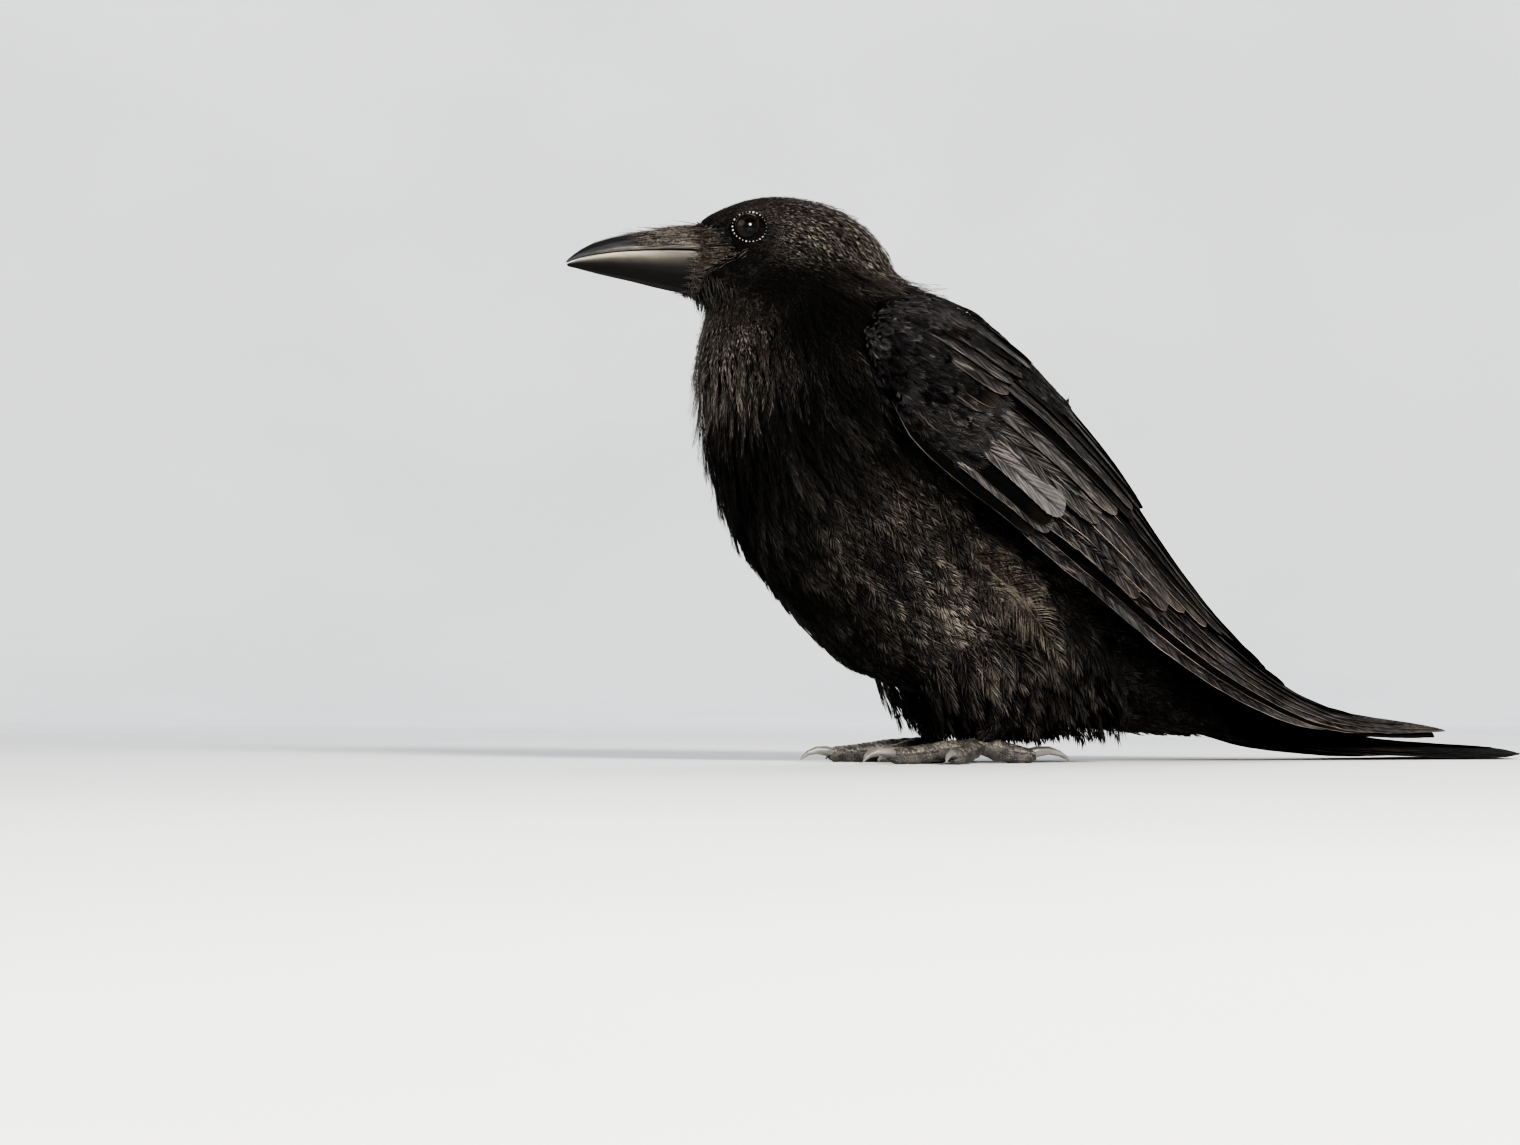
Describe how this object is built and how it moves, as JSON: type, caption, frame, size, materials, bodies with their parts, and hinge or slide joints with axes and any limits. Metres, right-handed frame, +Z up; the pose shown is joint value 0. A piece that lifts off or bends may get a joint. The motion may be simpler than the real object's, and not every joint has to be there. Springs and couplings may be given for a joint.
{
  "type": "carrion crow",
  "caption": "Life-size standing carrion crow, body held low and steep, stout black bill, wings folded, tail laid along the ground; a still display figure.",
  "frame": {"origin": "middle of the bird's box in plan, at the ground it stands on", "axes": "-X the way the bird faces, -Y its left side, +Z up"},
  "size_m": [0.3846, 0.1274, 0.2034],
  "materials": {
    "plumage": "soft black body feathers, loosely overlapping, faint brown-grey edges",
    "flight": "smooth black wing and tail feathers with a satin blue-grey sheen and paler shafts",
    "horn": "smooth dark horn with a soft sheen",
    "claw": "dark grey horn",
    "scales": "dry dark grey scaled skin",
    "lid": "bare dark skin rimmed with tiny pale points",
    "eye": "wet, very dark brown"
  },
  "bodies": {
    "root": {"trunk": "plumage", "neck": "plumage", "head": "plumage", "bill_upper": "horn", "bill_lower": "horn", "tail": "flight", "eye_left": "eye", "lid_left": "lid", "wing_left_coverts": "flight", "wing_left_secondaries": "flight", "wing_left_primaries": "flight", "thigh_left": "plumage", "tarsus_left": "scales", "toe_left_1": "scales", "claw_left_1": "claw", "toe_left_2": "scales", "claw_left_2": "claw", "toe_left_3": "scales", "claw_left_3": "claw", "toe_left_4": "scales", "claw_left_4": "claw", "eye_right": "eye", "lid_right": "lid", "wing_right_coverts": "flight", "wing_right_secondaries": "flight", "wing_right_primaries": "flight", "thigh_right": "plumage", "tarsus_right": "scales", "toe_right_1": "scales", "claw_right_1": "claw", "toe_right_2": "scales", "claw_right_2": "claw", "toe_right_3": "scales", "claw_right_3": "claw", "toe_right_4": "scales", "claw_right_4": "claw"}
  },
  "joints": []
}
